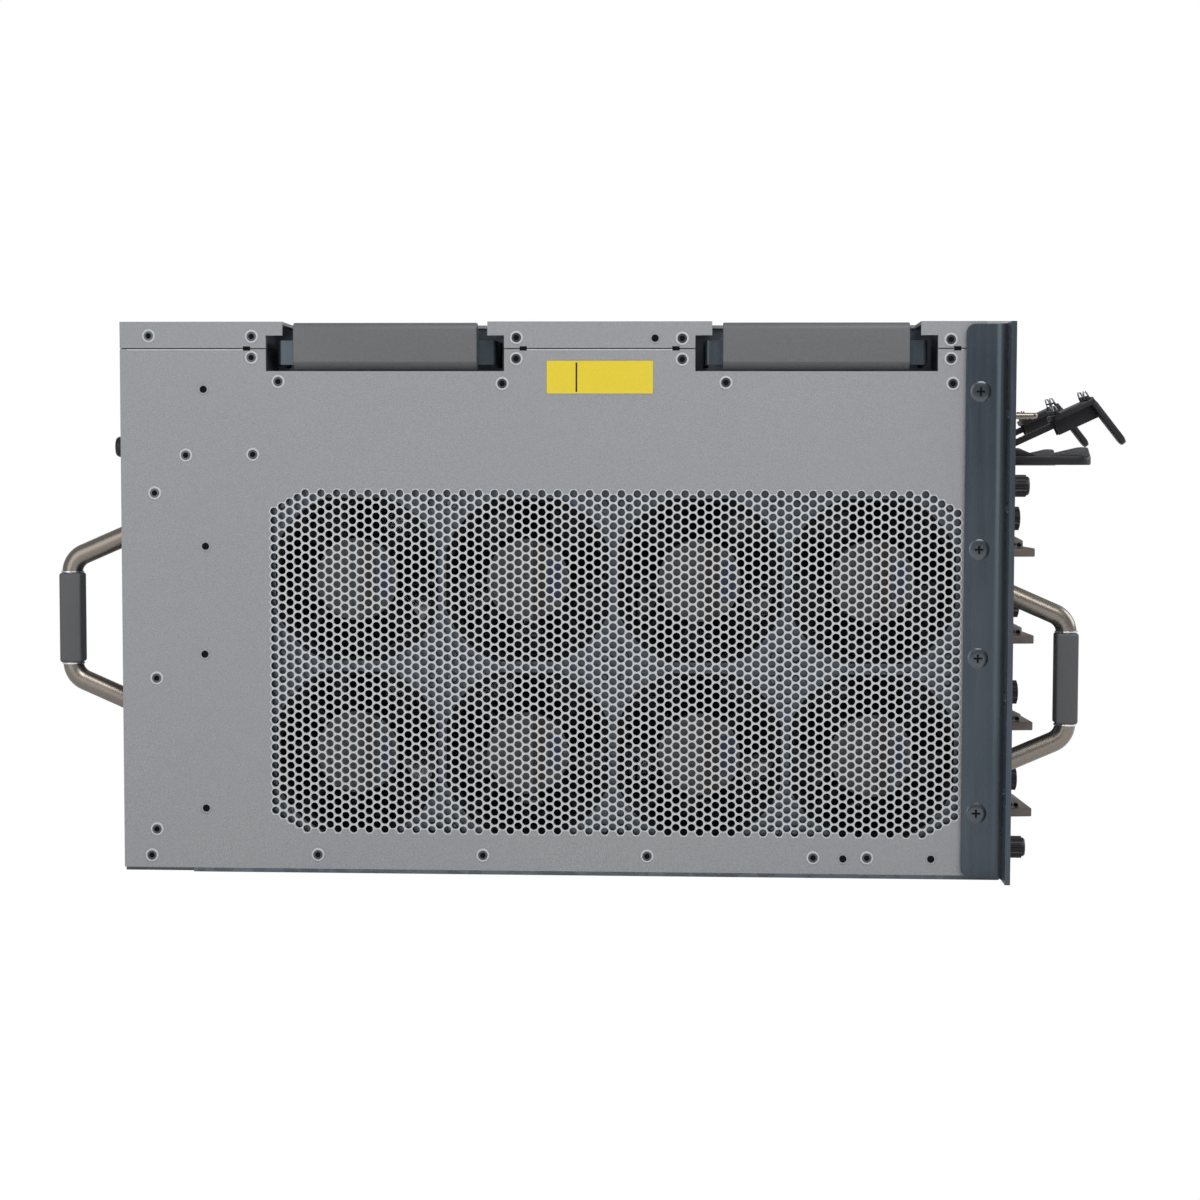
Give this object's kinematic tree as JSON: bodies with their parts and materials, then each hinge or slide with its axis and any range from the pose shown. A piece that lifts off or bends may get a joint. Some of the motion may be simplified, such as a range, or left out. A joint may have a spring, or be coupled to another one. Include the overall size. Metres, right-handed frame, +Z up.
{
  "type": "modular chassis switch",
  "caption": "Rack-mount modular chassis switch with a perforated side air inlet, a side fan tray with bar handles, plug-in cards, power supplies and pull-out lifting handles.",
  "frame": {"origin": "centre of the casing's base, on the underside of the bottom pan", "axes": "+X to the right seen from the front, the front faces -Y, +Z up"},
  "size_m": [0.4826, 0.5301, 0.2659],
  "materials": {
    "powder_grey": "fine textured powder coat, light grey",
    "header_grey": "smooth light grey paint",
    "face_grey": "satin dark grey paint",
    "galvanised": "galvanised steel sheet",
    "dark_zinc": "dark bluish zinc plate, polished",
    "nickel": "satin champagne nickel",
    "wire": "bright wire",
    "cast_metal": "warm grey cast metal",
    "sleeve_grey": "dark grey moulded sleeve",
    "grip_grey": "grey moulded grip",
    "black_plastic": "black moulded plastic",
    "fan_plastic": "dark glass-filled plastic",
    "board_green": "circuit board"
  },
  "bodies": {
    "chassis": {"side_wall_left": "powder_grey", "side_wall_right": "powder_grey", "top_cover": "powder_grey", "cover_skirts": "powder_grey", "front_header": "header_grey", "bottom_pan": "galvanised", "rear_panel": "powder_grey", "fan_bay_partition": "galvanised", "card_guides": "black_plastic", "psu_cage": "galvanised", "backplane": "board_green", "rack_bracket_left": "dark_zinc", "rack_bracket_right": "dark_zinc", "handle_pockets": "galvanised", "psu_blanks": "face_grey"},
    "lift_handle_left_rear": {"lift_strap_left_rear": "galvanised", "lift_grip_left_rear": "grip_grey"},
    "lift_handle_left_front": {"lift_strap_left_front": "galvanised", "lift_grip_left_front": "grip_grey"},
    "lift_handle_right_rear": {"lift_strap_right_rear": "galvanised", "lift_grip_right_rear": "grip_grey"},
    "lift_handle_right_front": {"lift_strap_right_front": "galvanised", "lift_grip_right_front": "grip_grey"},
    "fan_tray": {"fan_tray_frame": "galvanised", "fan_housings": "fan_plastic", "tray_handles": "nickel", "handle_sleeves": "sleeve_grey", "tray_thumbscrews": "black_plastic"},
    "fan_rotor_lower_1": {"fan_rotor_lower_1": "fan_plastic"},
    "fan_rotor_lower_2": {"fan_rotor_lower_2": "fan_plastic"},
    "fan_rotor_lower_3": {"fan_rotor_lower_3": "fan_plastic"},
    "fan_rotor_lower_4": {"fan_rotor_lower_4": "fan_plastic"},
    "fan_rotor_upper_1": {"fan_rotor_upper_1": "fan_plastic"},
    "fan_rotor_upper_2": {"fan_rotor_upper_2": "fan_plastic"},
    "fan_rotor_upper_3": {"fan_rotor_upper_3": "fan_plastic"},
    "fan_rotor_upper_4": {"fan_rotor_upper_4": "fan_plastic"},
    "line_card_1": {"line_card_1": "face_grey"},
    "card_lever_1_left": {"card_lever_1_left": "cast_metal"},
    "card_lever_1_right": {"card_lever_1_right": "cast_metal"},
    "supervisor_card_2": {"supervisor_card_2": "face_grey"},
    "card_lever_2_left": {"card_lever_2_left": "cast_metal"},
    "card_lever_2_right": {"card_lever_2_right": "cast_metal"},
    "supervisor_card_3": {"supervisor_card_3": "face_grey"},
    "card_lever_3_left": {"card_lever_3_left": "cast_metal"},
    "card_lever_3_right": {"card_lever_3_right": "cast_metal"},
    "line_card_4": {"line_card_4": "face_grey"},
    "card_lever_4_left": {"card_lever_4_left": "cast_metal"},
    "card_lever_4_right": {"card_lever_4_right": "cast_metal"},
    "power_supply_1": {"psu_case_1": "galvanised", "cord_arm_1": "black_plastic"},
    "psu_rotor_1": {"psu_rotor_1": "fan_plastic"},
    "psu_latch_1": {"psu_latch_1": "black_plastic"},
    "psu_bail_1": {"psu_bail_1": "wire"},
    "cord_cradle_1": {"cord_cradle_1": "black_plastic"},
    "power_supply_2": {"psu_case_2": "galvanised", "cord_arm_2": "black_plastic"},
    "psu_rotor_2": {"psu_rotor_2": "fan_plastic"},
    "psu_latch_2": {"psu_latch_2": "black_plastic"},
    "psu_bail_2": {"psu_bail_2": "wire"},
    "cord_cradle_2": {"cord_cradle_2": "black_plastic"}
  },
  "joints": [
    {"name": "lift_handle_left_rear_slide", "type": "slide", "parent": "chassis", "child": "lift_handle_left_rear", "axis": [-1, 0, 0], "range_m": [0, 0.0357]},
    {"name": "lift_handle_left_front_slide", "type": "slide", "parent": "chassis", "child": "lift_handle_left_front", "axis": [-1, 0, 0], "range_m": [0, 0.0357]},
    {"name": "lift_handle_right_rear_slide", "type": "slide", "parent": "chassis", "child": "lift_handle_right_rear", "axis": [1, 0, 0], "range_m": [0, 0.0357]},
    {"name": "lift_handle_right_front_slide", "type": "slide", "parent": "chassis", "child": "lift_handle_right_front", "axis": [1, 0, 0], "range_m": [0, 0.0357]},
    {"name": "fan_tray_slide", "type": "slide", "parent": "chassis", "child": "fan_tray", "axis": [0, -1, 0], "range_m": [0, 0.4]},
    {"name": "fan_rotor_lower_1_spin", "type": "hinge", "parent": "fan_tray", "child": "fan_rotor_lower_1", "pos_m": [-0.214, 0.0989, 0.0585], "axis": [1, 0, 0], "continuous": true},
    {"name": "fan_rotor_lower_2_spin", "type": "hinge", "parent": "fan_tray", "child": "fan_rotor_lower_2", "pos_m": [-0.214, 0.0162, 0.0585], "axis": [1, 0, 0], "continuous": true},
    {"name": "fan_rotor_lower_3_spin", "type": "hinge", "parent": "fan_tray", "child": "fan_rotor_lower_3", "pos_m": [-0.214, -0.0665, 0.0585], "axis": [1, 0, 0], "continuous": true},
    {"name": "fan_rotor_lower_4_spin", "type": "hinge", "parent": "fan_tray", "child": "fan_rotor_lower_4", "pos_m": [-0.214, -0.1492, 0.0585], "axis": [1, 0, 0], "continuous": true},
    {"name": "fan_rotor_upper_1_spin", "type": "hinge", "parent": "fan_tray", "child": "fan_rotor_upper_1", "pos_m": [-0.214, 0.0989, 0.1424], "axis": [1, 0, 0], "continuous": true},
    {"name": "fan_rotor_upper_2_spin", "type": "hinge", "parent": "fan_tray", "child": "fan_rotor_upper_2", "pos_m": [-0.214, 0.0162, 0.1424], "axis": [1, 0, 0], "continuous": true},
    {"name": "fan_rotor_upper_3_spin", "type": "hinge", "parent": "fan_tray", "child": "fan_rotor_upper_3", "pos_m": [-0.214, -0.0665, 0.1424], "axis": [1, 0, 0], "continuous": true},
    {"name": "fan_rotor_upper_4_spin", "type": "hinge", "parent": "fan_tray", "child": "fan_rotor_upper_4", "pos_m": [-0.214, -0.1492, 0.1424], "axis": [1, 0, 0], "continuous": true},
    {"name": "line_card_1_slide", "type": "slide", "parent": "chassis", "child": "line_card_1", "axis": [0, -1, 0], "range_m": [0, 0.36]},
    {"name": "card_lever_1_left_turn", "type": "hinge", "parent": "line_card_1", "child": "card_lever_1_left", "pos_m": [-0.152, -0.2195, 0.0209], "axis": [0, 0, -1], "range_deg": [0, 75]},
    {"name": "card_lever_1_right_turn", "type": "hinge", "parent": "line_card_1", "child": "card_lever_1_right", "pos_m": [0.2087, -0.2195, 0.0209], "axis": [0, 0, 1], "range_deg": [0, 75]},
    {"name": "supervisor_card_2_slide", "type": "slide", "parent": "chassis", "child": "supervisor_card_2", "axis": [0, -1, 0], "range_m": [0, 0.36]},
    {"name": "card_lever_2_left_turn", "type": "hinge", "parent": "supervisor_card_2", "child": "card_lever_2_left", "pos_m": [-0.152, -0.2195, 0.0647], "axis": [0, 0, -1], "range_deg": [0, 75]},
    {"name": "card_lever_2_right_turn", "type": "hinge", "parent": "supervisor_card_2", "child": "card_lever_2_right", "pos_m": [0.2087, -0.2195, 0.0647], "axis": [0, 0, 1], "range_deg": [0, 75]},
    {"name": "supervisor_card_3_slide", "type": "slide", "parent": "chassis", "child": "supervisor_card_3", "axis": [0, -1, 0], "range_m": [0, 0.36]},
    {"name": "card_lever_3_left_turn", "type": "hinge", "parent": "supervisor_card_3", "child": "card_lever_3_left", "pos_m": [-0.152, -0.2195, 0.1085], "axis": [0, 0, -1], "range_deg": [0, 75]},
    {"name": "card_lever_3_right_turn", "type": "hinge", "parent": "supervisor_card_3", "child": "card_lever_3_right", "pos_m": [0.2087, -0.2195, 0.1085], "axis": [0, 0, 1], "range_deg": [0, 75]},
    {"name": "line_card_4_slide", "type": "slide", "parent": "chassis", "child": "line_card_4", "axis": [0, -1, 0], "range_m": [0, 0.36]},
    {"name": "card_lever_4_left_turn", "type": "hinge", "parent": "line_card_4", "child": "card_lever_4_left", "pos_m": [-0.152, -0.2195, 0.1523], "axis": [0, 0, -1], "range_deg": [0, 75]},
    {"name": "card_lever_4_right_turn", "type": "hinge", "parent": "line_card_4", "child": "card_lever_4_right", "pos_m": [0.2087, -0.2195, 0.1523], "axis": [0, 0, 1], "range_deg": [0, 75]},
    {"name": "power_supply_1_slide", "type": "slide", "parent": "chassis", "child": "power_supply_1", "axis": [0, -1, 0], "range_m": [0, 0.3]},
    {"name": "psu_rotor_1_spin", "type": "hinge", "parent": "power_supply_1", "child": "psu_rotor_1", "pos_m": [-0.19185, -0.2075, 0.2196], "axis": [0, 1, 0], "continuous": true},
    {"name": "psu_latch_1_press", "type": "hinge", "parent": "power_supply_1", "child": "psu_latch_1", "pos_m": [-0.16985, -0.2165, 0.2005], "axis": [1, 0, 0], "range_deg": [0, 4.5], "stiffness_Nm_per_rad": 0.15, "springref_deg": -2.86},
    {"name": "psu_bail_1_fold", "type": "hinge", "parent": "power_supply_1", "child": "psu_bail_1", "pos_m": [-0.12285, -0.2157, 0.2236], "axis": [1, 0, 0], "range_deg": [0, 80]},
    {"name": "cord_cradle_1_slide", "type": "slide", "parent": "power_supply_1", "child": "cord_cradle_1", "axis": [0, -0.9063, 0.4226], "range_m": [-0.014, 0]},
    {"name": "power_supply_2_slide", "type": "slide", "parent": "chassis", "child": "power_supply_2", "axis": [0, -1, 0], "range_m": [0, 0.3]},
    {"name": "psu_rotor_2_spin", "type": "hinge", "parent": "power_supply_2", "child": "psu_rotor_2", "pos_m": [-0.08275, -0.2075, 0.2196], "axis": [0, 1, 0], "continuous": true},
    {"name": "psu_latch_2_press", "type": "hinge", "parent": "power_supply_2", "child": "psu_latch_2", "pos_m": [-0.06075, -0.2165, 0.2005], "axis": [1, 0, 0], "range_deg": [0, 4.5], "stiffness_Nm_per_rad": 0.15, "springref_deg": -2.86},
    {"name": "psu_bail_2_fold", "type": "hinge", "parent": "power_supply_2", "child": "psu_bail_2", "pos_m": [-0.01375, -0.2157, 0.2236], "axis": [1, 0, 0], "range_deg": [0, 80]},
    {"name": "cord_cradle_2_slide", "type": "slide", "parent": "power_supply_2", "child": "cord_cradle_2", "axis": [0, -0.9063, 0.4226], "range_m": [-0.014, 0]}
  ]
}
